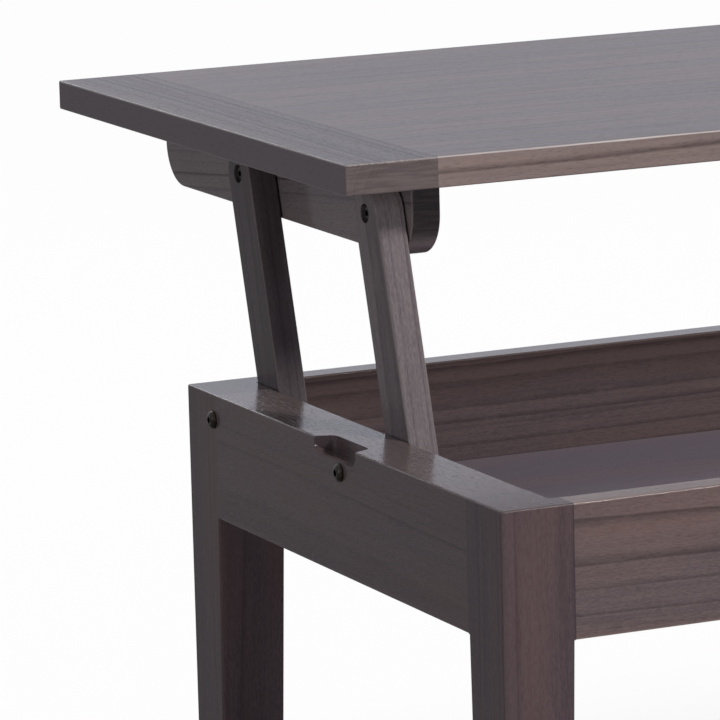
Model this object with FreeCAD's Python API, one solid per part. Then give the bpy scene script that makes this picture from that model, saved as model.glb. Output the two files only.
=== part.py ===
import FreeCAD, Part
import math
import os

# Lift-top coffee table, shown raised: the top rides on four wooden arms that swing as two
# parallelograms. X runs along the table, Y to the back, Z up from the floor. The origin lies
# on the floor under the middle of the raised table's plan.

V = FreeCAD.Vector

# Top: a field panel between two end boards
top_length = 1100.0
top_depth = 600.0
top_thickness = 25.0
top_overhang = 3.0
end_board_width = 80.0
tongue_length = 12.0
tongue_thickness = 8.0
tongue_inset = 35.0

# Base frame
base_height = 455.0
leg_width = 60.0
leg_foot_width = 52.0
leg_round = 2.5
apron_height = 105.0
end_apron_thickness = 52.0
side_apron_thickness = 25.0
edge_round = 1.5

# Box floor, held in grooves near the lower edges of the aprons
panel_thickness = 9.0
panel_rise = 8.0
groove_depth = 8.0

# Finger notch in the outer top edge of each end apron
notch_length = 78.0
notch_depth = 16.0
notch_height = 13.0
notch_flare = 7.0
notch_round = 9.0

# Dowels that join the aprons to the legs
dowel_diameter = 10.0
dowel_length = 48.0
dowel_chamfer = 1.0
dowel_heights = (28.0, 54.0)

# Nail-on glides under the legs
glide_diameter = 30.0
glide_thickness = 4.0
glide_round = 1.5
glide_pin_diameter = 3.0
glide_pin_length = 14.0

# Lift arms, from pivot to pivot, and how far they lean back when raised
arm_length = 203.0
arm_width = 43.0
arm_thickness = 25.0
arm_lean = 16.0
arm_round = 2.0
arm_end_gap = 6.0

# Bearers under the top
bearer_thickness = 25.0
bearer_floor_gap = 22.0
bearer_front_reach = 33.3
bearer_back_gap = 14.0
bearer_corner = 36.0
upper_pivot_drop = 29.5

# Pivot bolts, sleeve nuts and washers
bolt_diameter = 8.0
bolt_head_diameter = 15.0
bolt_head_height = 4.2
bolt_head_flat = 7.0
bolt_below_notch = 1.0
bolt_engagement = 14.0
hex_socket_width = 5.0
hex_socket_depth = 2.6
sleeve_wall = 1.5
sleeve_flange_diameter = 17.5
sleeve_flange_thickness = 2.5
shoulder_step = 1.0
head_sink = 1.8
washer_diameter = 22.0
washer_thickness = 1.0

# Screws that hold the bearers to the top
screw_diameter = 4.5
screw_head_diameter = 9.0
screw_head_height = 3.0
screw_grip = 26.0
screw_bite = 15.0

# Clearances
running_clearance = 0.08
fit_clearance = 0.1
flange_clearance = 0.3
side_clearance = 0.1
rest_gap = 0.5
stop_gap = 0.3
panel_gap = 0.5
hole_bottom_gap = 1.0

# The linkage, worked out from the sizes above
lean = math.radians(arm_lean)
base_length = top_length - 2 * top_overhang
base_depth = top_depth - 2 * top_overhang
lower_pivot_drop = notch_height + bolt_head_diameter / 2 + bolt_below_notch
lowered_rise = math.asin((lower_pivot_drop + rest_gap - upper_pivot_drop) / arm_length)
lift_swing = math.pi / 2 + lean - lowered_rise
top_shift = arm_length * (math.sin(lean) + math.cos(lowered_rise))
pivot_spacing = arm_length + arm_width + arm_end_gap

# The base's planes, with its middle set so that the raised plan is centred on the origin
base_y = -(top_shift + top_overhang) / 2
left_x = -base_length / 2
front_y = base_y - base_depth / 2
back_y = base_y + base_depth / 2
apron_bottom = base_height - apron_height
end_inner_x = left_x + end_apron_thickness
front_inner_y = front_y + side_apron_thickness
back_inner_y = back_y - side_apron_thickness
leg_inner_x = left_x + leg_width
leg_front_y = front_y + leg_width
leg_back_y = back_y - leg_width
panel_bottom = apron_bottom + panel_rise
panel_top = panel_bottom + panel_thickness

# The back arm rests against the back apron's inner top edge when raised
stop_reach = arm_width / 2 + stop_gap + lower_pivot_drop * math.sin(lean)
back_pivot_y = back_inner_y - stop_reach / math.cos(lean)
pivot_ys = (back_pivot_y, back_pivot_y - pivot_spacing)
lower_pivot_z = base_height - lower_pivot_drop
upper_pivot_ys = tuple(y + arm_length * math.sin(lean) for y in pivot_ys)
upper_pivot_z = lower_pivot_z + arm_length * math.cos(lean)

# Layers of the linkage, from the end apron inwards
layer_gap = washer_thickness + 2 * side_clearance
arm_outer_x = end_inner_x + layer_gap
arm_inner_x = arm_outer_x + arm_thickness
bearer_outer_x = arm_inner_x + layer_gap
bearer_inner_x = bearer_outer_x + bearer_thickness

# The raised top
top_under = upper_pivot_z + upper_pivot_drop
top_upper = top_under + top_thickness
top_y = base_y + top_shift
top_front_y = top_y - top_depth / 2
top_back_y = top_y + top_depth / 2
top_left_x = -top_length / 2
end_joint_x = top_left_x + end_board_width
bearer_height = apron_height - panel_rise - panel_thickness - bearer_floor_gap
bearer_front_y = upper_pivot_ys[1] - bearer_front_reach
bearer_back_y = back_inner_y - bearer_back_gap + top_shift

sleeve_diameter = bolt_diameter + 2 * (fit_clearance + sleeve_wall)
shoulder_diameter = bolt_diameter + 2 * shoulder_step
head_recess = bolt_head_height + head_sink


def box(x0, x1, y0, y1, z0, z1):
    return Part.makeBox(x1 - x0, y1 - y0, z1 - z0, V(x0, y0, z0))


def rod_x(x0, x1, y, z, diameter):
    return Part.makeCylinder(diameter / 2, x1 - x0, V(x0, y, z), V(1, 0, 0))


def rod_y(x, y0, y1, z, diameter):
    return Part.makeCylinder(diameter / 2, y1 - y0, V(x, y0, z), V(0, 1, 0))


def rod_z(x, y, z0, z1, diameter):
    return Part.makeCylinder(diameter / 2, z1 - z0, V(x, y, z0), V(0, 0, 1))


def rounded_wire(corners, place):
    """A closed wire through corners (u, v, radius), with an arc where the radius isn't zero."""
    stops = []
    for index, (u, v, radius) in enumerate(corners):
        before = corners[index - 1]
        after = corners[(index + 1) % len(corners)]
        here = V(u, v, 0)
        back = (V(before[0], before[1], 0) - here).normalize()
        ahead = (V(after[0], after[1], 0) - here).normalize()
        half = back.getAngle(ahead) / 2
        start = here + back * (radius / math.tan(half))
        end = here + ahead * (radius / math.tan(half))
        middle = here + (back + ahead).normalize() * (radius / math.sin(half) - radius)
        stops.append((start, middle, end, radius))
    edges = []
    for index, (start, middle, end, radius) in enumerate(stops):
        previous_end = stops[index - 1][2]
        if previous_end.distanceToPoint(start) > 1e-6:
            edges.append(Part.LineSegment(place(*previous_end[:2]), place(*start[:2])).toShape())
        if radius > 0:
            edges.append(Part.Arc(place(*start[:2]), place(*middle[:2]), place(*end[:2])).toShape())
    return Part.Wire(edges)


def prism_x(corners, x0, x1):
    """Extrudes a Y-Z outline along X."""
    wire = rounded_wire(corners, lambda u, v: V(x0, u, v))
    return Part.Face(wire).extrude(V(x1 - x0, 0, 0))


def prism_y(corners, y0, y1):
    """Extrudes an X-Z outline along Y."""
    wire = rounded_wire(corners, lambda u, v: V(u, y0, v))
    return Part.Face(wire).extrude(V(0, y1 - y0, 0))


def prism_z(corners, z0, z1):
    """Extrudes an X-Y outline along Z."""
    wire = rounded_wire(corners, lambda u, v: V(u, v, z0))
    return Part.Face(wire).extrude(V(0, 0, z1 - z0))


def rounded_rectangle(u0, u1, v0, v1, radius):
    return [(u0, v0, radius), (u1, v0, radius), (u1, v1, radius), (u0, v1, radius)]


def eased(shape, radius, wanted):
    """Rounds the edges that the wanted test picks by their bounding box."""
    return shape.makeFillet(radius, [edge for edge in shape.Edges if wanted(edge.BoundBox)])


def turned_x(profile, x, y, z):
    """Revolves an (along, radius) profile about the X line through (x, y, z)."""
    points = [V(x + along, y + radius, z) for along, radius in profile]
    face = Part.Face(Part.makePolygon(points + points[:1]))
    return face.revolve(V(x, y, z), V(1, 0, 0), 360)


def mirrored_x(shape):
    return shape.mirror(V(0, 0, 0), V(1, 0, 0))


def mirrored_y(shape):
    return shape.mirror(V(0, base_y, 0), V(0, 1, 0))


def both_ends(shapes):
    return shapes + [mirrored_x(shape) for shape in shapes]


def tapered_leg_section(width, z):
    """A leg's square section, measured from the outer corner, which stays upright."""
    corners = rounded_rectangle(left_x, left_x + width, front_y, front_y + width, leg_round)
    return rounded_wire(corners, lambda u, v: V(u, v, z))


def dowel_holes_along_y(joint_y):
    """Holes across the joint between a leg and the end apron."""
    x = left_x + end_apron_thickness / 2
    reach = dowel_length / 2 + hole_bottom_gap
    size = dowel_diameter + 2 * fit_clearance
    heights = [apron_bottom + height for height in dowel_heights]
    return [rod_y(x, joint_y - reach, joint_y + reach, z, size) for z in heights]


def dowel_holes_along_x(apron_y):
    """Holes across the joint between a leg and the front or back apron."""
    reach = dowel_length / 2 + hole_bottom_gap
    size = dowel_diameter + 2 * fit_clearance
    heights = [apron_bottom + height for height in dowel_heights]
    return [rod_x(leg_inner_x - reach, leg_inner_x + reach, apron_y, z, size) for z in heights]


def chamfered_dowel(rod):
    rims = [edge for edge in rod.Edges if edge.Closed and len(edge.Vertexes) == 1]
    return rod.makeChamfer(dowel_chamfer, rims)


def bolt_bores():
    """Holes for the lower pivot bolts, through whatever they pass on the left end."""
    size = bolt_diameter + 2 * fit_clearance
    return [rod_x(left_x, end_inner_x, y, lower_pivot_z, size) for y in pivot_ys]


def front_left_leg():
    """Square above, with its inner corner cut back flush with the aprons' inner faces; below
    the aprons the two inner faces taper to the foot."""
    head = prism_z(
        [
            (left_x, front_y, leg_round),
            (leg_inner_x, front_y, 0),
            (leg_inner_x, leg_front_y, 0),
            (left_x, leg_front_y, 0),
        ],
        apron_bottom,
        base_height,
    )
    head = head.cut(
        box(
            end_inner_x,
            end_inner_x + leg_width,
            front_inner_y,
            front_inner_y + leg_width,
            apron_bottom,
            base_height,
        )
    )
    head = eased(head, edge_round, is_outer_top_edge)
    sections = [
        tapered_leg_section(leg_foot_width, glide_thickness),
        tapered_leg_section(leg_width, apron_bottom),
    ]
    shaft = Part.makeLoft(sections, True, True)
    leg = head.fuse(shaft).removeSplitter()
    apron_y = front_y + side_apron_thickness / 2
    leg = leg.cut(dowel_holes_along_y(leg_front_y) + dowel_holes_along_x(apron_y))
    pin_top = glide_thickness + glide_pin_length + hole_bottom_gap
    pin_size = glide_pin_diameter + 2 * fit_clearance
    return leg.cut(rod_z(*glide_centre(), glide_thickness, pin_top, pin_size))


def is_outer_top_edge(bounds):
    """Picks a leg's top edges along the two outer faces and round their corner."""
    on_top = bounds.ZMin > base_height - edge_round
    on_end = bounds.XMax < left_x + leg_round + edge_round
    on_front = bounds.YMax < front_y + leg_round + edge_round
    return on_top and (on_end or on_front)


def glide_centre():
    return left_x + leg_foot_width / 2, front_y + leg_foot_width / 2


def front_left_glide():
    """A nylon foot with a rounded rim and a nail."""
    x, y = glide_centre()
    radius = glide_diameter / 2
    pin = glide_pin_diameter / 2
    start = V(x + radius - glide_round, y, 0)
    end = V(x + radius, y, glide_round)
    bulge = V(x + radius - glide_round * (1 - math.sqrt(0.5)), y, glide_round * (1 - math.sqrt(0.5)))
    edges = [
        Part.LineSegment(V(x, y, 0), start).toShape(),
        Part.Arc(start, bulge, end).toShape(),
    ]
    corners = [
        end,
        V(x + radius, y, glide_thickness),
        V(x + pin, y, glide_thickness),
        V(x + pin, y, glide_thickness + glide_pin_length - pin),
        V(x, y, glide_thickness + glide_pin_length),
        V(x, y, 0),
    ]
    edges += Part.makePolygon(corners).Edges
    return Part.Face(Part.Wire(edges)).revolve(V(x, y, 0), V(0, 0, 1), 360)


def front_apron():
    section = rounded_rectangle(front_y, front_inner_y, apron_bottom, base_height, edge_round)
    apron = prism_x(section, leg_inner_x, -leg_inner_x)
    groove = box(
        leg_inner_x,
        -leg_inner_x,
        front_inner_y - groove_depth,
        front_inner_y,
        panel_bottom - fit_clearance,
        panel_top + fit_clearance,
    )
    holes = dowel_holes_along_x(front_y + side_apron_thickness / 2)
    return apron.cut([groove] + both_ends(holes))


def finger_notch():
    """A scoop with rounded lower corners, flared towards the outer face."""
    half = notch_length / 2
    floor_z = base_height - notch_height
    above = base_height + notch_height
    face_outline = [
        (base_y - half, above, 0),
        (base_y - half, floor_z, notch_round),
        (base_y + half, floor_z, notch_round),
        (base_y + half, above, 0),
    ]
    across = prism_x(face_outline, left_x - notch_depth, left_x + notch_depth)
    inner = half - notch_flare
    plan_outline = [
        (left_x - notch_depth, base_y - half - notch_flare, 0),
        (left_x + notch_depth, base_y - inner, notch_flare),
        (left_x + notch_depth, base_y + inner, notch_flare),
        (left_x - notch_depth, base_y + half + notch_flare, 0),
    ]
    return across.common(prism_z(plan_outline, floor_z, above))


def left_end_apron():
    section = rounded_rectangle(left_x, end_inner_x, apron_bottom, base_height, edge_round)
    apron = prism_y(section, leg_front_y, leg_back_y)
    groove = box(
        end_inner_x - groove_depth,
        end_inner_x,
        leg_front_y,
        leg_back_y,
        panel_bottom - fit_clearance,
        panel_top + fit_clearance,
    )
    holes = dowel_holes_along_y(leg_front_y) + dowel_holes_along_y(leg_back_y)
    return apron.cut([groove, finger_notch()] + holes + bolt_bores())


def bottom_panel():
    """Plywood floor whose edges reach into the grooves between the legs."""
    reach = groove_depth - panel_gap
    inside = box(
        end_inner_x + panel_gap,
        -end_inner_x - panel_gap,
        front_inner_y + panel_gap,
        back_inner_y - panel_gap,
        panel_bottom,
        panel_top,
    )
    across = box(
        end_inner_x - reach,
        -end_inner_x + reach,
        leg_front_y + panel_gap,
        leg_back_y - panel_gap,
        panel_bottom,
        panel_top,
    )
    along = box(
        leg_inner_x + panel_gap,
        -leg_inner_x - panel_gap,
        front_inner_y - reach,
        back_inner_y + reach,
        panel_bottom,
        panel_top,
    )
    return inside.fuse([across, along]).removeSplitter()


def apron_dowels():
    half = dowel_length / 2
    x = left_x + end_apron_thickness / 2
    front_apron_y = front_y + side_apron_thickness / 2
    rods = []
    for height in dowel_heights:
        z = apron_bottom + height
        rods.append(rod_y(x, leg_front_y - half, leg_front_y + half, z, dowel_diameter))
        rods.append(rod_x(leg_inner_x - half, leg_inner_x + half, front_apron_y, z, dowel_diameter))
    front = [chamfered_dowel(rod) for rod in rods]
    return both_ends(front + [mirrored_y(dowel) for dowel in front])


def domed_head(x, y, z, outward):
    """A low domed bolt head on the plane at x, with a hexagon socket."""
    radius = bolt_head_diameter / 2
    flat = bolt_head_flat / 2
    rim = bolt_head_height / 4
    face = V(x, y, z)
    edge = V(x + outward * rim, y + radius, z)
    crown = V(x + outward * bolt_head_height, y + flat, z)
    swell = (edge + crown) * 0.5 + V(outward * rim * 0.6, rim * 0.6, 0)
    sides = Part.makePolygon([V(x + outward * bolt_head_height, y, z), face, V(x, y + radius, z), edge])
    lid = Part.makePolygon([crown, V(x + outward * bolt_head_height, y, z)])
    profile = Part.Wire(sides.Edges + [Part.Arc(edge, swell, crown).toShape()] + lid.Edges)
    head = Part.Face(profile).revolve(face, V(1, 0, 0), 360)
    across = hex_socket_width / math.sqrt(3)
    angles = [math.radians(60 * step) for step in range(7)]
    mouth = x + outward * bolt_head_height
    ring = [V(mouth, y + across * math.cos(a), z + across * math.sin(a)) for a in angles]
    socket = Part.Face(Part.makePolygon(ring)).extrude(V(-outward * hex_socket_depth, 0, 0))
    return head.cut(socket)


def lower_pivot_bolts():
    """Domed bolts from the outside of the end, each screwed into a sleeve nut in the arm."""
    bolts = []
    for y in pivot_ys:
        shank = rod_x(left_x, end_inner_x + bolt_engagement, y, lower_pivot_z, bolt_diameter)
        bolts.append(domed_head(left_x, y, lower_pivot_z, -1).fuse(shank).removeSplitter())
    return both_ends(bolts)


def lower_sleeve_nuts():
    """Sleeves that the arms turn on, with flanges sunk in the arms' inner faces."""
    flange_face = arm_inner_x - end_inner_x - side_clearance
    flange_back = flange_face - sleeve_flange_thickness
    bore = bolt_diameter / 2 + fit_clearance
    bore_end = bolt_engagement + hole_bottom_gap
    profile = [
        (0, bore),
        (0, sleeve_diameter / 2),
        (flange_back, sleeve_diameter / 2),
        (flange_back, sleeve_flange_diameter / 2),
        (flange_face, sleeve_flange_diameter / 2),
        (flange_face, 0),
        (bore_end, 0),
        (bore_end, bore),
    ]
    return both_ends([turned_x(profile, end_inner_x, y, lower_pivot_z) for y in pivot_ys])


def washer(x, y, z, bore):
    ring = rod_x(x, x + washer_thickness, y, z, washer_diameter)
    return ring.cut(rod_x(x, x + washer_thickness, y, z, bore))


def lower_pivot_washers():
    bore = sleeve_diameter + 2 * fit_clearance
    x = end_inner_x + side_clearance
    return both_ends([washer(x, y, lower_pivot_z, bore) for y in pivot_ys])


def left_arm(y):
    """A round-ended arm, bored for its sleeve below and counterbored for a sunk bolt above."""
    half = arm_width / 2
    foot = [V(arm_outer_x, -half, 0), V(arm_outer_x, 0, -half), V(arm_outer_x, half, 0)]
    tip = [V(arm_outer_x, half, arm_length), V(arm_outer_x, 0, arm_length + half), V(arm_outer_x, -half, arm_length)]
    edges = [
        Part.Arc(*foot).toShape(),
        Part.LineSegment(foot[2], tip[0]).toShape(),
        Part.Arc(*tip).toShape(),
        Part.LineSegment(tip[2], foot[0]).toShape(),
    ]
    arm = Part.Face(Part.Wire(edges)).extrude(V(arm_thickness, 0, 0))
    arm = eased(arm, arm_round, lambda bounds: bounds.XLength < 1e-6)
    sleeve_bore = sleeve_diameter + 2 * running_clearance
    flange_bore = sleeve_flange_diameter + 2 * flange_clearance
    flange_depth = sleeve_flange_thickness + 2 * side_clearance
    shoulder_bore = shoulder_diameter + 2 * running_clearance
    head_bore = bolt_head_diameter + 2 * flange_clearance
    arm = arm.cut(
        [
            rod_x(arm_outer_x, arm_inner_x, 0, 0, sleeve_bore),
            rod_x(arm_inner_x - flange_depth, arm_inner_x, 0, 0, flange_bore),
            rod_x(arm_outer_x, arm_inner_x, 0, arm_length, shoulder_bore),
            rod_x(arm_outer_x, arm_outer_x + head_recess, 0, arm_length, head_bore),
        ]
    )
    arm.rotate(V(0, 0, 0), V(1, 0, 0), -arm_lean)
    arm.translate(V(0, y, lower_pivot_z))
    return arm


def screw_ys():
    """Two screws between a bearer's pivots and two behind the back one."""
    back, front = upper_pivot_ys
    between = [front + (back - front) * share for share in (1 / 3, 2 / 3)]
    behind = [back + (bearer_back_y - back) * share for share in (1 / 3, 2 / 3)]
    return between + behind


def left_bearer():
    """A cleat across the top's underside, its lower corners rounded to clear the aprons."""
    lower = top_under - bearer_height
    outline = [
        (bearer_front_y, lower, bearer_corner),
        (bearer_back_y, lower, bearer_corner),
        (bearer_back_y, top_under, 0),
        (bearer_front_y, top_under, 0),
    ]
    bearer = prism_x(outline, bearer_outer_x, bearer_inner_x)
    bearer = eased(
        bearer,
        edge_round,
        lambda bounds: bounds.XLength < 1e-6 and bounds.ZMin < top_under - edge_round,
    )
    nut_size = sleeve_diameter + 2 * fit_clearance
    nut_start = bearer_inner_x - bolt_engagement - hole_bottom_gap
    holes = []
    for y in upper_pivot_ys:
        size = bolt_diameter + 2 * fit_clearance
        holes.append(rod_x(bearer_outer_x, bearer_inner_x, y, upper_pivot_z, size))
        holes.append(rod_x(nut_start, bearer_inner_x, y, upper_pivot_z, nut_size))
    x = (bearer_outer_x + bearer_inner_x) / 2
    for y in screw_ys():
        shank = screw_diameter + 2 * fit_clearance
        head = screw_head_diameter + 2 * flange_clearance
        holes.append(rod_z(x, y, lower, top_under, shank))
        holes.append(rod_z(x, y, lower, top_under - screw_grip, head))
    return bearer.cut(holes)


def upper_pivot_bolts():
    """Shoulder bolts: heads sunk in the arms, threads through the bearers into cap nuts."""
    head_x = arm_outer_x + head_recess - side_clearance
    bolts = []
    for y in upper_pivot_ys:
        shoulder = rod_x(head_x, bearer_outer_x, y, upper_pivot_z, shoulder_diameter)
        thread_end = bearer_inner_x - hole_bottom_gap
        thread = rod_x(bearer_outer_x, thread_end, y, upper_pivot_z, bolt_diameter)
        head = domed_head(head_x, y, upper_pivot_z, -1)
        bolts.append(head.fuse([shoulder, thread]).removeSplitter())
    return both_ends(bolts)


def upper_cap_nuts():
    """Domed nuts on the bearers' inner faces, with barrels that take the bolts' threads."""
    nuts = []
    for y in upper_pivot_ys:
        barrel = rod_x(bearer_inner_x - bolt_engagement, bearer_inner_x, y, upper_pivot_z, sleeve_diameter)
        thread = rod_x(
            bearer_inner_x - bolt_engagement,
            bearer_inner_x,
            y,
            upper_pivot_z,
            bolt_diameter + 2 * fit_clearance,
        )
        head = domed_head(bearer_inner_x, y, upper_pivot_z, 1)
        nuts.append(head.fuse(barrel.cut(thread)).removeSplitter())
    return both_ends(nuts)


def upper_pivot_washers():
    bore = shoulder_diameter + 2 * fit_clearance
    x = arm_inner_x + side_clearance
    return both_ends([washer(x, y, upper_pivot_z, bore) for y in upper_pivot_ys])


def bearer_screws():
    x = (bearer_outer_x + bearer_inner_x) / 2
    seat = top_under - screw_grip
    screws = []
    for y in screw_ys():
        shank = rod_z(x, y, seat, top_under + screw_bite, screw_diameter)
        head = rod_z(x, y, seat - screw_head_height, seat, screw_head_diameter)
        screws.append(shank.fuse(head).removeSplitter())
    return both_ends(screws)


def tongue(x0, x1, slack):
    """The field panel's tongue, or the groove for it, stopped short of the front and back."""
    middle = top_under + top_thickness / 2
    half = tongue_thickness / 2 + slack
    inset = tongue_inset - slack
    return box(x0, x1, top_front_y + inset, top_back_y - inset, middle - half, middle + half)


def top_panel():
    section = rounded_rectangle(top_front_y, top_back_y, top_under, top_upper, edge_round)
    panel = prism_x(section, end_joint_x, -end_joint_x)
    tongues = both_ends([tongue(end_joint_x - tongue_length, end_joint_x, 0)])
    panel = panel.fuse(tongues).removeSplitter()
    x = (bearer_outer_x + bearer_inner_x) / 2
    size = screw_diameter + 2 * fit_clearance
    depth = screw_bite + hole_bottom_gap
    holes = [rod_z(x, y, top_under, top_under + depth, size) for y in screw_ys()]
    return panel.cut(both_ends(holes))


def left_end_board():
    board = box(top_left_x, end_joint_x, top_front_y, top_back_y, top_under, top_upper)
    board = eased(board, edge_round, lambda bounds: bounds.XMin < end_joint_x - edge_round)
    groove = tongue(end_joint_x - tongue_length - hole_bottom_gap, end_joint_x, fit_clearance)
    return board.cut(groove)


front_leg = front_left_leg()
back_leg = mirrored_y(front_leg).cut(bolt_bores())
front_apron_shape = front_apron()
end_apron = left_end_apron()
glide = front_left_glide()
back_arm = left_arm(pivot_ys[0])
front_arm = left_arm(pivot_ys[1])
bearer = left_bearer()
end_board = left_end_board()

nodes = {
    "leg_front_left": front_leg,
    "leg_back_left": back_leg,
    "leg_front_right": mirrored_x(front_leg),
    "leg_back_right": mirrored_x(back_leg),
    "front_apron": front_apron_shape,
    "back_apron": mirrored_y(front_apron_shape),
    "end_apron_left": end_apron,
    "end_apron_right": mirrored_x(end_apron),
    "bottom_panel": bottom_panel(),
    "apron_dowels": Part.makeCompound(apron_dowels()),
    "foot_glides": Part.makeCompound(both_ends([glide, mirrored_y(glide)])),
    "lower_pivot_bolts": Part.makeCompound(lower_pivot_bolts()),
    "lower_sleeve_nuts": Part.makeCompound(lower_sleeve_nuts()),
    "lower_pivot_washers": Part.makeCompound(lower_pivot_washers()),
    "lift_arm_back_left": back_arm,
    "lift_arm_front_left": front_arm,
    "lift_arm_back_right": mirrored_x(back_arm),
    "lift_arm_front_right": mirrored_x(front_arm),
    "bearer_left": bearer,
    "bearer_right": mirrored_x(bearer),
    "bearer_screws": Part.makeCompound(bearer_screws()),
    "upper_pivot_bolts": Part.makeCompound(upper_pivot_bolts()),
    "upper_cap_nuts": Part.makeCompound(upper_cap_nuts()),
    "upper_pivot_washers": Part.makeCompound(upper_pivot_washers()),
    "top_panel": top_panel(),
    "end_board_left": end_board,
    "end_board_right": mirrored_x(end_board),
}

os.makedirs("parts", exist_ok=True)
for name, shape in nodes.items():
    shape.exportStep("parts/" + name + ".step")
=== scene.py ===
import bpy
import math
from mathutils import Euler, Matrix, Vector


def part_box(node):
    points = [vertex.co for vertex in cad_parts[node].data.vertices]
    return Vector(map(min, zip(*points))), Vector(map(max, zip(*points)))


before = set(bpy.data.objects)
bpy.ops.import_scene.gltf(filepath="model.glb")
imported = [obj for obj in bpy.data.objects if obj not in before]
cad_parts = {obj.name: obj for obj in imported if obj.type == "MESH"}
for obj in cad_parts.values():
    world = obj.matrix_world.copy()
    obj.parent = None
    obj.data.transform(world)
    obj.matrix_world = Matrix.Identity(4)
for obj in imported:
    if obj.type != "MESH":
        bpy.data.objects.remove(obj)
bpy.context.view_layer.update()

# Legs
# Four solid posts of open-grained hardwood, sawn square and tapered on their two inner faces below the
# aprons. They are stained dark grey-brown and lacquered, with the grain running up the leg.


class Tone:
    """A value, colour or vector over a finish: one socket of its node tree, with arithmetic."""

    def __init__(self, tree, socket=None):
        self.tree = tree
        self.socket = socket

    def node(self, kind, settings, sockets, output=0):
        """Adds a node: its settings first, then the values or links of its sockets. A ramp's stops are
        places with a shade each, and the ramp is dark at both ends."""
        made = self.tree.nodes.new(kind)
        for name, value in settings.items():
            if name == "stops":
                for place, shade in value:
                    made.color_ramp.elements.new(place).color = (shade, shade, shade, 1)
                made.color_ramp.elements[-1].color = (0, 0, 0, 1)
            else:
                setattr(made, name, value)
        for name, value in sockets.items():
            if isinstance(value, Tone):
                self.tree.links.new(value.socket, made.inputs[name])
            else:
                made.inputs[name].default_value = value
        return Tone(self.tree, made.outputs[output])

    def maths(self, operation, *values):
        return self.node("ShaderNodeMath", {"operation": operation}, dict(enumerate(values)))

    def __add__(self, other):
        return self.maths("ADD", self, other)

    __radd__ = __add__

    def __sub__(self, other):
        return self.maths("SUBTRACT", self, other)

    def __rsub__(self, other):
        return self.maths("SUBTRACT", other, self)

    def __mul__(self, other):
        return self.maths("MULTIPLY", self, other)

    __rmul__ = __mul__

    def __truediv__(self, other):
        return self.maths("DIVIDE", self, other)

    def __pow__(self, other):
        return self.maths("POWER", self, other)

    def __abs__(self):
        return self.maths("ABSOLUTE", self)

    def lower(self, other):
        return self.maths("MINIMUM", self, other)

    def higher(self, other):
        return self.maths("MAXIMUM", self, other)

    def rise(self, low, high):
        """0 below low, 1 above high and smooth between."""
        settings = {"interpolation_type": "SMOOTHSTEP"}
        sockets = {"Value": self, "From Min": low, "From Max": high}
        return self.node("ShaderNodeMapRange", settings, sockets)

    def blend(self, first, second):
        """The first colour where this value is 0 and the second where it is 1."""
        return self.node("ShaderNodeMix", {"data_type": "RGBA"}, {0: self, 6: first, 7: second}, 2)

    def vector(self, operation, other, output=0):
        settings = {"operation": operation}
        return self.node("ShaderNodeVectorMath", settings, {0: self, 1: other}, output)

    def noise(self, counts, detail=2.0, output=0):
        """Noise on this vector, with three counts per metre."""
        sockets = {"Vector": self.vector("MULTIPLY", counts), "Scale": 1.0, "Detail": detail}
        return self.node("ShaderNodeTexNoise", {}, sockets, output)

    def shaken(self, counts, reach):
        """This vector, moved about by noise as far as the reach."""
        stir = self.noise(counts, 2.0, 1).vector("SUBTRACT", (0.5, 0.5, 0.5))
        return self.vector("ADD", stir.vector("MULTIPLY", reach))

    def parts(self):
        """The three parts of this vector."""
        return [self.node("ShaderNodeSeparateXYZ", {}, {"Vector": self}, index) for index in range(3)]


def paint(red, green, blue):
    """A colour as it looks on a screen, 0 to 255, turned into light."""
    shares = [value / 255 for value in (red, green, blue)]
    return tuple(s / 12.92 if s < 0.04045 else ((s + 0.055) / 1.055) ** 2.4 for s in shares) + (1.0,)


def new_finish(name):
    """An empty material, its shader and the place on the piece."""
    material = bpy.data.materials.new(name)
    material.use_nodes = True
    tree = material.node_tree
    shader = tree.nodes["Principled BSDF"]
    place = Tone(tree).node("ShaderNodeTexCoord", {}, {}, "Object")
    return material, shader, place


def join(tone, shader, socket):
    tone.tree.links.new(tone.socket, shader.inputs[socket])


def growth_rings(first, step, uneven, count, strength=1.0):
    """Radii of dark growth lines round the heart of the tree, and how dark each is. Both waver from ring
    to ring, in another way for each first radius."""
    rings = []
    for index in range(count):
        radius = first + step * index + uneven * math.sin(2.4 * index + 900 * first)
        darkness = strength * (0.45 + 0.4 * math.sin(1.7 * index + 500 * first) ** 2)
        rings.append((radius, darkness))
    return rings


# A growth line fades in over one width, ends over another, and is drawn by a ramp of few steps, so that
# each ramp takes only a few rings.
ring_fade = 0.0024
ring_end = 0.0005
rings_per_ramp = 4


def ring_lines(radius, rings):
    """How dark the growth lines are at a radius."""
    lines = radius * 0.0
    for first in range(0, len(rings), rings_per_ramp):
        group = rings[first : first + rings_per_ramp]
        start = group[0][0] - 2 * ring_fade
        reach = group[-1][0] + 2 * ring_fade - start
        stops = []
        for ring, darkness in group:
            stops.append(((ring - ring_fade - start) / reach, 0.0))
            stops.append(((ring - start) / reach, darkness))
            stops.append(((ring + ring_end - start) / reach, 0.0))
        share = (radius - start) / reach
        lines = lines.higher(share.node("ShaderNodeValToRGB", {"stops": stops}, {0: share}))
    return lines


def box_edge(low, high):
    """How far a point on a squared piece is from the piece's nearest edge."""

    def distance(place):
        half = (high - low) / 2
        parts = place.vector("SUBTRACT", (low + high) / 2).parts()
        to_x, to_y, to_z = [reach - abs(part) for reach, part in zip(half, parts)]
        return to_x.lower(to_y).higher(to_x.higher(to_y).lower(to_z))

    return distance


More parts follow.
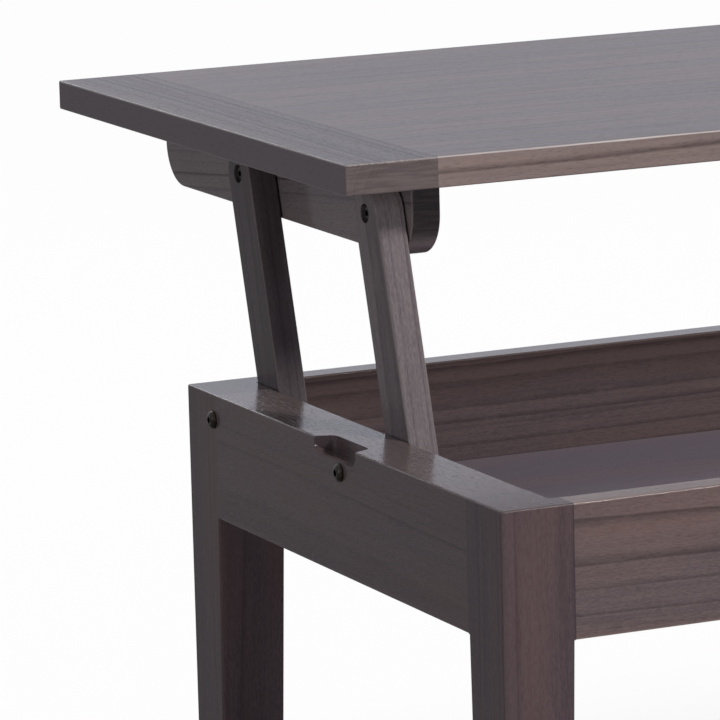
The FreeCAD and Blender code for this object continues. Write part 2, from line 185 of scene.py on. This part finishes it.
# Counts of noise per metre along the grain, across it and through the wood, and how far the grain bends.
sway_counts = (1.6, 9.0, 9.0)
sway_reach = (0.0, 0.007, 0.007)
ripple_counts = (14.0, 90.0, 90.0)
ripple_reach = (0.0, 0.001, 0.001)
ring_break_counts = (26.0, 150.0, 150.0)
fibre_counts = (12.0, 430.0, 430.0)
fleck_counts = (230.0, 1000.0, 1000.0)
pore_counts = (120.0, 1500.0, 1500.0)
cloud_counts = (2.6, 20.0, 20.0)
streak_counts = (5.0, 110.0, 110.0)
layer_counts = (10.0, 30.0, 420.0)
edge_mark_full = 0.0003
edge_mark_none = 0.0018
edge_mark_ragged = 0.002
joint_dark = 0.0002
joint_clear = 0.0010
grain_depth = 0.0002
lacquer_tint = (0.94, 0.91, 1.0, 1.0)


def stained_wood(
    name,
    turn,
    heart,
    rings,
    stain,
    edge,
    joints=(),
    gloss=0.12,
    matt=0.11,
    open_grain=0.35,
    upright_grain=1.0,
    streaks=0.0,
    edge_rub_and_highlight=0.6,
    top_rub_and_sheen=0.0,
    relief=0.15,
):
    """Open-grained hardwood under stain and satin lacquer. The turn brings the grain onto X, the heart is
    a point on the middle line of the tree, and the rings are the dark growth lines about that line. Open
    grain says how dark the pores are, and upright grain what share of that shows on upright faces, which
    may take a colour of their own by the way they face, as painted light and shade. Streaks are long and
    dark. Edges take the bare colour, for worn stain and a painted highlight on the arris, and upper faces
    take it too, for rubbed stain and a painted sheen; one argument each says how much. Relief is how much
    the grain is felt."""
    material, shader, place = new_finish(name)
    angles = Euler([math.radians(angle) for angle in turn])
    shift = -(angles.to_matrix() @ Vector(heart))
    sockets = {"Vector": place, "Location": shift, "Rotation": angles}
    turned = place.node("ShaderNodeMapping", {}, sockets)
    bent = turned.shaken(sway_counts, sway_reach).shaken(ripple_counts, ripple_reach)
    across, through = bent.parts()[1:]
    radius = (across * across + through * through) ** 0.5
    late = ring_lines(radius, rings) * bent.noise(ring_break_counts).rise(0.1, 0.5)

    fibre = bent.noise(fibre_counts, 4.0)
    flecks = bent.noise(fleck_counts, 2.0)
    pores = bent.noise(pore_counts, 1.0).rise(0.56, 0.70)
    cloud = bent.noise(cloud_counts).rise(0.34, 0.66)
    colour = cloud.blend(stain["grey"], stain["warm"])
    pale = (fibre * 0.4 + flecks * 0.6).rise(0.36, 0.64)
    colour = (pale * 0.7).blend(colour, stain["pale"])
    normal = place.node("ShaderNodeTexCoord", {}, {}, "Normal")
    facing_up = normal.parts()[2]
    level = abs(facing_up).rise(0.5, 0.9)
    # Upright faces take a colour of their own by the way they face, not by the wood: painted light and
    # shade.
    if "upright" in stain:
        colour = ((1.0 - level) * (0.35 + cloud * 0.5)).blend(colour, stain["upright"])
    if streaks:
        streak = bent.noise(streak_counts, 4.0).rise(0.42, 0.72)
        colour = (streak * streaks).blend(colour, stain["line"])
    colour = late.blend(colour, stain["line"])
    shown = open_grain * (level * (1.0 - upright_grain) + upright_grain)
    colour = (pores * (shown + late * 0.4)).blend(colour, stain["pore"])

    grain = angles.to_matrix().inverted() @ Vector((1.0, 0.0, 0.0))
    cut = abs(normal.vector("DOT_PRODUCT", grain, 1)).rise(0.6, 0.9)
    layers = bent.noise(layer_counts, 3.0).rise(0.38, 0.68)
    end_grain = (pores * 0.25 + layers * 0.45).blend(stain["end"], stain["pore"])
    colour = (cut * 0.85).blend(colour, end_grain)
    # Upper faces lighten towards the bare colour: partly rubbed stain, partly a painted sheen where they
    # catch light at a low angle.
    upper = facing_up.rise(0.9, 0.99)
    colour = (upper * top_rub_and_sheen * (0.1 + fibre * 1.2 + flecks * 0.6)).blend(colour, stain["bare_and_highlit"])
    # Edges lighten towards the bare colour: partly worn stain, partly a painted highlight on the rounded
    # arris.
    bare_and_highlit = 1.0 - (edge(place) + (fibre - 0.5) * edge_mark_ragged).rise(edge_mark_full, edge_mark_none)
    colour = (bare_and_highlit * edge_rub_and_highlight).blend(colour, stain["bare_and_highlit"])
    where = place.parts()
    for axis, plane in joints:
        seam = 1.0 - abs(where[axis] - plane).rise(joint_dark, joint_clear)
        colour = (seam * 0.7).blend(colour, stain["line"])

    join(colour, shader, "Base Color")
    join(matt + (fibre - 0.5) * 0.10 + pores * 0.10 + cut * 0.04, shader, "Roughness")
    height = (fibre - 0.5) * 0.5 + (flecks - 0.5) * 0.25 - pores * 0.8 - late * 0.3
    sockets = {"Strength": relief, "Distance": grain_depth, "Height": height}
    join(height.node("ShaderNodeBump", {}, sockets), shader, "Normal")
    shader.inputs["Specular IOR Level"].default_value = gloss
    shader.inputs["Specular Tint"].default_value = lacquer_tint
    return material


def dress(node, material):
    """Gives a piece its finish."""
    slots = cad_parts[node].data.materials
    slots.clear()
    slots.append(material)


leg_stain = {
    "warm": paint(92, 72, 71),
    "grey": paint(72, 63, 70),
    "pale": paint(96, 80, 80),
    "line": paint(64, 52, 55),
    "pore": paint(58, 48, 50),
    "end": paint(82, 73, 80),
    "bare_and_highlit": paint(112, 96, 92),
}
up_the_leg = (0, 90, 0)
leg_heart_right = 0.036
leg_heart_back = 0.052
leg_along_the_tree = 0.31
leg_joint = abs(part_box("front_apron")[0].x)
past_a_joint = 0.1
# How far upper faces of the frame lighten: rubbed stain and painted sheen.
tops_rub_and_sheen = 0.6
for index, leg in enumerate(("leg_front_left", "leg_back_left", "leg_front_right", "leg_back_right")):
    low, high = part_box(leg)
    middle = (low + high) / 2
    side = -1 if low.x < 0 else 1
    end = -1 if leg.startswith("leg_front") else 1
    inward = Vector((-side, -end, -1)) * past_a_joint
    kept_low = low + Vector([min(part, 0.0) for part in inward])
    kept_high = high + Vector([max(part, 0.0) for part in inward])
    heart = (middle.x + leg_heart_right, middle.y + leg_heart_back, leg_along_the_tree * index)
    first_ring = 0.024 + 0.003 * index
    wood = stained_wood(
        leg + "_wood",
        up_the_leg,
        heart,
        growth_rings(first_ring, step=0.0105, uneven=0.0028, count=9, strength=0.7),
        leg_stain,
        box_edge(kept_low, kept_high),
        joints=[(0, side * leg_joint)],
        top_rub_and_sheen=tops_rub_and_sheen,
    )
    dress(leg, wood)

# Front and back aprons
# Planks of the same stained hardwood with the grain running along the table. They are doweled and glued
# between the legs, and their inner faces are grooved for the box floor.
front_stain = {
    "warm": paint(108, 88, 84),
    "grey": paint(92, 80, 83),
    "pale": paint(115, 99, 97),
    "line": paint(52, 42, 44),
    "pore": paint(64, 53, 54),
    "end": paint(60, 50, 52),
    # This bare colour is light: it paints the highlight along the apron's rounded top edge as well as worn
    # stain.
    "bare_and_highlit": paint(168, 148, 138),
}
# A darker copy of the front apron's stain: painted shade, for the back apron's inner face inside the box.
shaded_back_stain = dict(
    front_stain,
    warm=paint(102, 84, 82),
    grey=paint(88, 76, 79),
    pale=paint(108, 92, 90),
)
front_rings = [
    (0.0437, 0.6),
    (0.0538, 0.4),
    (0.0687, 0.45),
    (0.0741, 0.15),
    (0.0785, 0.15),
    (0.0850, 0.1),
]
back_rings = [
    (0.0418, 0.4),
    (0.0472, 0.6),
    (0.0500, 0.3),
    (0.0602, 0.45),
    (0.0720, 0.4),
    (0.0800, 0.3),
]
front_tilt = -1.2
back_tilt = 0.5
apron_heart_below_top = 0.031
apron_heart_behind_face = 0.040
past_the_legs = Vector((past_a_joint, 0.0, 0.0))
for apron, tilt, rings, stain in (
    ("front_apron", front_tilt, front_rings, front_stain),
    ("back_apron", back_tilt, back_rings, shaded_back_stain),
):
    low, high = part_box(apron)
    wood = stained_wood(
        apron + "_wood",
        (0, tilt, 0),
        (low.x, low.y + apron_heart_behind_face, high.z - apron_heart_below_top),
        rings,
        stain,
        box_edge(low - past_the_legs, high + past_the_legs),
        joints=[(0, low.x), (0, high.x)],
        top_rub_and_sheen=tops_rub_and_sheen,
    )
    dress(apron, wood)

# End aprons
# Thick blocks that carry the pivot bolts, doweled between the legs with the grain running across the
# table. A finger notch is routed into the outer top edge before staining.
end_stain = {
    "warm": paint(92, 76, 75),
    "grey": paint(84, 73, 77),
    "pale": paint(102, 87, 86),
    "line": paint(56, 46, 49),
    "pore": paint(58, 48, 50),
    "end": paint(60, 50, 53),
    "bare_and_highlit": paint(120, 104, 100),
}
across_the_table = (0, 0, -90)
end_heart_right = 0.05
end_heart_y = 0.4
end_heart_below_top = 0.09
past_the_ends = Vector((0.0, past_a_joint, 0.0))
for apron, first_ring in (("end_apron_left", 0.034), ("end_apron_right", 0.041)):
    low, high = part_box(apron)
    middle = (low + high) / 2
    wood = stained_wood(
        apron + "_wood",
        across_the_table,
        (middle.x + end_heart_right, end_heart_y, high.z - end_heart_below_top),
        growth_rings(first_ring, step=0.014, uneven=0.003, count=8, strength=0.5),
        end_stain,
        box_edge(low - past_the_ends, high + past_the_ends),
        matt=0.16,
        top_rub_and_sheen=tops_rub_and_sheen,
        relief=0.6,
    )
    dress(apron, wood)

# Box floor
# A sheet of veneered plywood, stained with the rest and slid into the aprons' grooves. The veneer's
# grain runs along the table.
# Much paler and bluer than the frame's stain: painted light and painted reflection for the box floor,
# which the lamps barely reach.
lit_veneer_stain = {
    "warm": paint(143, 131, 138),
    "grey": paint(134, 125, 138),
    "pale": paint(149, 138, 145),
    "line": paint(118, 107, 115),
    "pore": paint(104, 94, 100),
    "end": paint(150, 128, 104),
    "bare_and_highlit": paint(164, 152, 158),
}
along_the_table = (0, 0, 0)
veneer_heart_x = 0.7
veneer_heart_y = -0.12
veneer_heart_below = 0.06
low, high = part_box("bottom_panel")
veneer = stained_wood(
    "box_floor_veneer",
    along_the_table,
    (veneer_heart_x, veneer_heart_y, high.z - veneer_heart_below),
    growth_rings(0.06, step=0.016, uneven=0.004, count=8, strength=0.5),
    lit_veneer_stain,
    box_edge(low, high),
    gloss=0.05,
    matt=0.3,
)
dress("bottom_panel", veneer)

# Dowels
# Plain beech pins, turned, chamfered and glued into the legs and aprons. They don't show once the
# frame is together.
dowel_counts = (300.0, 300.0, 300.0)
material, shader, place = new_finish("beech_dowel")
fleck = place.noise(dowel_counts, 3.0)
join(fleck.rise(0.3, 0.7).blend(paint(190, 155, 115), paint(214, 184, 146)), shader, "Base Color")
join(0.55 + (fleck - 0.5) * 0.2, shader, "Roughness")
dress("apron_dowels", material)

# Foot glides
# Moulded nylon discs on steel nails, driven into the feet of the legs.
scuff_counts = (180.0, 180.0, 180.0)
material, shader, place = new_finish("glide_nylon")
scuff = place.noise(scuff_counts, 3.0)
join(scuff.rise(0.35, 0.7).blend(paint(42, 38, 37), paint(60, 55, 53)), shader, "Base Color")
join(0.5 + (scuff - 0.5) * 0.3, shader, "Roughness")
dress("foot_glides", material)

# Lower pivot bolts
# Steel furniture bolts with domed heads and hexagon sockets, plated antique bronze. Each goes through
# the end apron, or the back leg, into a sleeve nut in its arm.
tarnish_counts = (260.0, 260.0, 260.0)
scratch_counts = (2200.0, 2200.0, 2200.0)
scratch_depth = 0.0002


def plated(name, dark, bright):
    """Plated steel: clouded, with fine scratches."""
    material, shader, place = new_finish(name)
    tarnish = place.noise(tarnish_counts, 3.0)
    scratches = place.noise(scratch_counts)
    clean = tarnish.rise(0.3, 0.7) * 0.8 + scratches * 0.2
    join(clean.blend(dark, bright), shader, "Base Color")
    join(0.26 + tarnish * 0.16, shader, "Roughness")
    sockets = {"Strength": 0.12, "Distance": scratch_depth, "Height": scratches}
    join(scratches.node("ShaderNodeBump", {}, sockets), shader, "Normal")
    shader.inputs["Metallic"].default_value = 1.0
    return material


bronze = plated("antique_bronze", paint(28, 25, 22), paint(58, 52, 46))
dress("lower_pivot_bolts", bronze)

# Sleeve nuts and washers of the lower pivots
# Zinc-plated steel sleeves that the arms turn on, and plain washers between arm and apron.
zinc = plated("zinc_plate", paint(140, 142, 145), paint(186, 188, 190))
dress("lower_sleeve_nuts", zinc)
dress("lower_pivot_washers", zinc)

# Lift arms
# Four round-ended bars of solid hardwood with the grain along the arm, bored at both ends. They swing
# between the end aprons and the bearers.
arm_stain = {
    "warm": paint(120, 108, 108),
    "grey": paint(112, 103, 107),
    "pale": paint(138, 127, 127),
    "line": paint(66, 57, 59),
    "pore": paint(72, 63, 64),
    "end": paint(74, 66, 66),
    "bare_and_highlit": paint(146, 132, 126),
}
# A darker copy of the front arms' stain: painted shade, for the shadow that the front arm and the top cast
# on the back arms.
shaded_back_arm_stain = dict(
    arm_stain,
    warm=paint(92, 82, 83),
    grey=paint(85, 78, 82),
    pale=paint(104, 95, 96),
)
arm_lean = 16.0
arm_width = 0.043
up_the_arm = (arm_lean, 90, 0)
arm_heart_right = 0.05
arms = ("lift_arm_back_left", "lift_arm_front_left", "lift_arm_back_right", "lift_arm_front_right")


def arm_edge(low, high):
    """How far a point on a round-ended arm is from the rim of its flat faces."""

    def distance(place):
        middle = (low + high) / 2
        lean = math.radians(arm_lean)
        straight = (high.z - low.z - arm_width) / 2 / math.cos(lean)
        x, y, z = place.vector("SUBTRACT", middle).parts()
        along = abs(y * math.sin(lean) + z * math.cos(lean)) - straight
        across = y * math.cos(lean) - z * math.sin(lean)
        past = along.higher(0.0)
        to_rim = arm_width / 2 - (past * past + across * across) ** 0.5
        return to_rim.higher((high.x - low.x) / 2 - abs(x))

    return distance


for index, arm in enumerate(arms):
    low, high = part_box(arm)
    middle = (low + high) / 2
    heart_back = 0.012 * index - 0.02
    first_ring = 0.026 + 0.002 * index
    wood = stained_wood(
        arm + "_wood",
        up_the_arm,
        (middle.x + arm_heart_right, middle.y + heart_back, middle.z),
        growth_rings(first_ring, step=0.009, uneven=0.002, count=9, strength=0.6),
        shaded_back_arm_stain if "back" in arm else arm_stain,
        arm_edge(low, high),
        gloss=0.08,
        matt=0.18,
        edge_rub_and_highlight=0.35,
    )
    dress(arm, wood)

# Bearers
# Cleats under the top with rounded lower corners, sawn from plank with the grain across the table and
# a little out of level. Screws hold them to the top, and the arms' upper bolts go through them.
bearer_stain = {
    "warm": paint(124, 112, 112),
    "grey": paint(114, 105, 109),
    "pale": paint(136, 125, 125),
    "line": paint(52, 44, 47),
    "pore": paint(70, 61, 63),
    # Far darker than end grain elsewhere: end grain plus painted shade under the top.
    "end": paint(26, 24, 27),
    "bare_and_highlit": paint(140, 126, 120),
}
bearer_rings = [
    (0.0225, 0.35),
    (0.0325, 0.75),
    (0.0420, 0.2),
    (0.0505, 0.25),
    (0.0615, 0.2),
    (0.0725, 0.2),
]
sloping_across = (5.4, 0, -90)
bearer_heart_below_top = 0.0795
under_the_top = Vector((0.0, 0.0, past_a_joint))
for bearer, heart_y in (("bearer_left", 0.31), ("bearer_right", 0.314)):
    low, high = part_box(bearer)
    middle = (low + high) / 2
    wood = stained_wood(
        bearer + "_wood",
        sloping_across,
        (middle.x, heart_y, high.z - bearer_heart_below_top),
        bearer_rings,
        bearer_stain,
        box_edge(low, high + under_the_top),
        edge_rub_and_highlight=0.2,
    )
    dress(bearer, wood)
dress("bearer_screws", zinc)

# Upper pivot bolts, cap nuts and washers
# Shoulder bolts with the same bronzed heads, sunk in the arms, screwed through the bearers into domed
# cap nuts. A washer keeps each arm off its bearer.
dress("upper_pivot_bolts", bronze)
dress("upper_cap_nuts", bronze)
dress("upper_pivot_washers", zinc)

# Top
# A field panel with the grain along the table, tongued into two end boards with the grain across it.
# All three are stained and lacquered together.
field_stain = {
    "warm": paint(125, 112, 110),
    "grey": paint(110, 102, 107),
    "pale": paint(135, 123, 121),
    # Lighter and warmer than the upper face: painted light on the top's front edge, while the greyer upper
    # colours paint the lacquer's cool sheen.
    "upright": paint(148, 128, 121),
    "line": paint(60, 50, 50),
    "pore": paint(66, 57, 58),
    "end": paint(112, 100, 98),
    # The bare colour is near white: it paints the highlight along the top's rounded rim as well as worn
    # stain.
    "bare_and_highlit": paint(222, 212, 206),
}
board_stain = dict(
    field_stain,
    warm=paint(113, 103, 104),
    grey=paint(102, 95, 100),
    pale=paint(123, 113, 114),
    # Darker than the board's upper face: painted shade on the end boards' outer edges.
    upright=paint(106, 98, 101),
)
field_rings = [
    (0.0596, 0.65),
    (0.105, 0.25),
    (0.134, 0.3),
    (0.192, 0.2),
    (0.261, 0.3),
    (0.304, 0.2),
    (0.385, 0.3),
    (0.472, 0.25),
    (0.561, 0.3),
]
field_heart_before_edge = 0.05
field_heart_above = 0.02
board_heart_right = 0.01
board_heart_y = 0.1
board_heart_below = 0.03
past_the_boards = Vector((0.2, 0.0, 0.0))
past_the_seam = Vector((past_a_joint, 0.0, 0.0))


def rim_edge(low, high):
    """How far a point on a board is from the rim of its upper face."""

    def distance(place):
        half = (high - low) / 2
        x, y, z = place.vector("SUBTRACT", (low + high) / 2).parts()
        inside = (half.x - abs(x)).lower(half.y - abs(y))
        return inside.higher(half.z - z)

    return distance


low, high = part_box("top_panel")
wood = stained_wood(
    "top_field_wood",
    along_the_table,
    (0.0, low.y - field_heart_before_edge, high.z + field_heart_above),
    field_rings,
    field_stain,
    rim_edge(low - past_the_boards, high + past_the_boards),
    gloss=0.05,
    matt=0.30,
    open_grain=0.3,
    streaks=0.25,
    # Strong, for the painted highlight along the rim as well as wear.
    edge_rub_and_highlight=0.85,
)
dress("top_panel", wood)
for board, first_ring in (("end_board_left", 0.031), ("end_board_right", 0.034)):
    low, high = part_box(board)
    middle = (low + high) / 2
    if middle.x < 0:
        edge = rim_edge(low, high + past_the_seam)
    else:
        edge = rim_edge(low - past_the_seam, high)
    wood = stained_wood(
        board + "_wood",
        across_the_table,
        (middle.x + board_heart_right, board_heart_y, high.z - board_heart_below),
        growth_rings(first_ring, step=0.0044, uneven=0.0009, count=5),
        board_stain,
        edge,
        gloss=0.055,
        matt=0.32,
        open_grain=0.8,
        upright_grain=0.25,
        edge_rub_and_highlight=0.45,
    )
    dress(board, wood)

# Studio floor and white backdrop
# A pale floor with the lamps' shadows and a soft painted shadow under the table, and a world that the
# camera sees as white and reflections as a cool white.
floor_width = 16.0
floor_grey = (0.55, 0.55, 0.56, 1.0)
floor_mirrored = 0.2
shadow_reach = 0.7
shadow_white = 0.52
open_white = 0.46
plain_white = (1.0, 1.0, 1.0, 1.0)
cool_sky = (0.86, 0.885, 1.0, 1.0)
sky_light = 0.13


def rays_seen(path, mirror=1.0):
    """1 for what the camera or a clear piece shows, and the mirror's share for what a reflection shows."""
    seen, mirrored, through = [
        path.node("ShaderNodeLightPath", {}, {}, ray)
        for ray in ("Is Camera Ray", "Is Glossy Ray", "Is Transmission Ray")
    ]
    return seen.higher(mirrored * mirror).higher(through)


bpy.ops.mesh.primitive_plane_add(size=floor_width)
floor = bpy.context.object
floor.name = "studio_floor"
material, shader, place = new_finish("pale_floor")
tree = material.node_tree
shader.inputs["Base Color"].default_value = floor_grey
shader.inputs["Roughness"].default_value = 0.9
shader.inputs["Specular IOR Level"].default_value = 0.0
white = place.node("ShaderNodeEmission", {}, {"Color": plain_white, "Strength": 1.0})
plain = Tone(tree, shader.outputs["BSDF"])
# The white share falls where the ambient occlusion finds the table near: a painted soft shadow under it,
# beside the lamps' real shadows in the plain floor.
openness = place.node("ShaderNodeAmbientOcclusion", {"samples": 8}, {"Distance": shadow_reach}, "AO")
share = rays_seen(place, floor_mirrored) * (shadow_white + openness * open_white)
mixed = place.node("ShaderNodeMixShader", {}, {0: share, 1: plain, 2: white})
join(mixed, tree.nodes["Material Output"], "Surface")
floor.data.materials.append(material)

world = bpy.data.worlds.new("studio")
bpy.context.scene.world = world
world.use_nodes = True
sky = world.node_tree.nodes["Background"]
path = Tone(world.node_tree)
join(sky_light + rays_seen(path) * (1.0 - sky_light), sky, "Strength")
seen = path.node("ShaderNodeLightPath", {}, {}, "Is Camera Ray")
join(seen.blend(cool_sky, plain_white), sky, "Color")

# Soft light
# A main lamp in front, to the right and above, and a low one straight in front, which together render
# colours about as written. Weaker ones to the right, to the left and behind light the other sides.


def softbox(name, size, power, location, target):
    lamp = bpy.data.lights.new(name, "AREA")
    lamp.shape = "SQUARE"
    lamp.size = size
    lamp.energy = power
    stand = bpy.data.objects.new(name, lamp)
    stand.location = location
    stand.rotation_euler = (Vector(target) - Vector(location)).to_track_quat("-Z", "Y").to_euler()
    bpy.context.scene.collection.objects.link(stand)


softbox("main_softbox", 0.5, 87.0, (1.33, -2.93, 2.6), (-0.3, -0.1, 0.4))
softbox("low_softbox", 0.4, 23.0, (-0.47, -3.6, 0.92), (-0.47, -0.1, 0.5))
softbox("side_softbox", 1.8, 32.0, (2.9, 1.5, 1.1), (0.0, 0.0, 0.4))
softbox("back_softbox", 1.4, 30.0, (-0.2, 3.1, 2.4), (0.0, 0.2, 0.3))
softbox("left_softbox", 1.2, 11.0, (-3.0, -0.5, 1.0), (-0.5, -0.2, 0.45))

# Camera
# A long lens from the front left, a little above the top, as in the photograph.
camera = bpy.data.cameras.new("photograph")
camera.sensor_width = 36.0
camera.lens = 269.13
camera.clip_end = 50.0
camera_object = bpy.data.objects.new("photograph", camera)
camera_object.location = (-2.2629, -3.9318, 1.3009)
camera_object.rotation_euler = [math.radians(angle) for angle in (79.4175, 1.472, -24.8747)]
bpy.context.scene.collection.objects.link(camera_object)
bpy.context.scene.camera = camera_object
bpy.context.scene.view_settings.view_transform = "Standard"
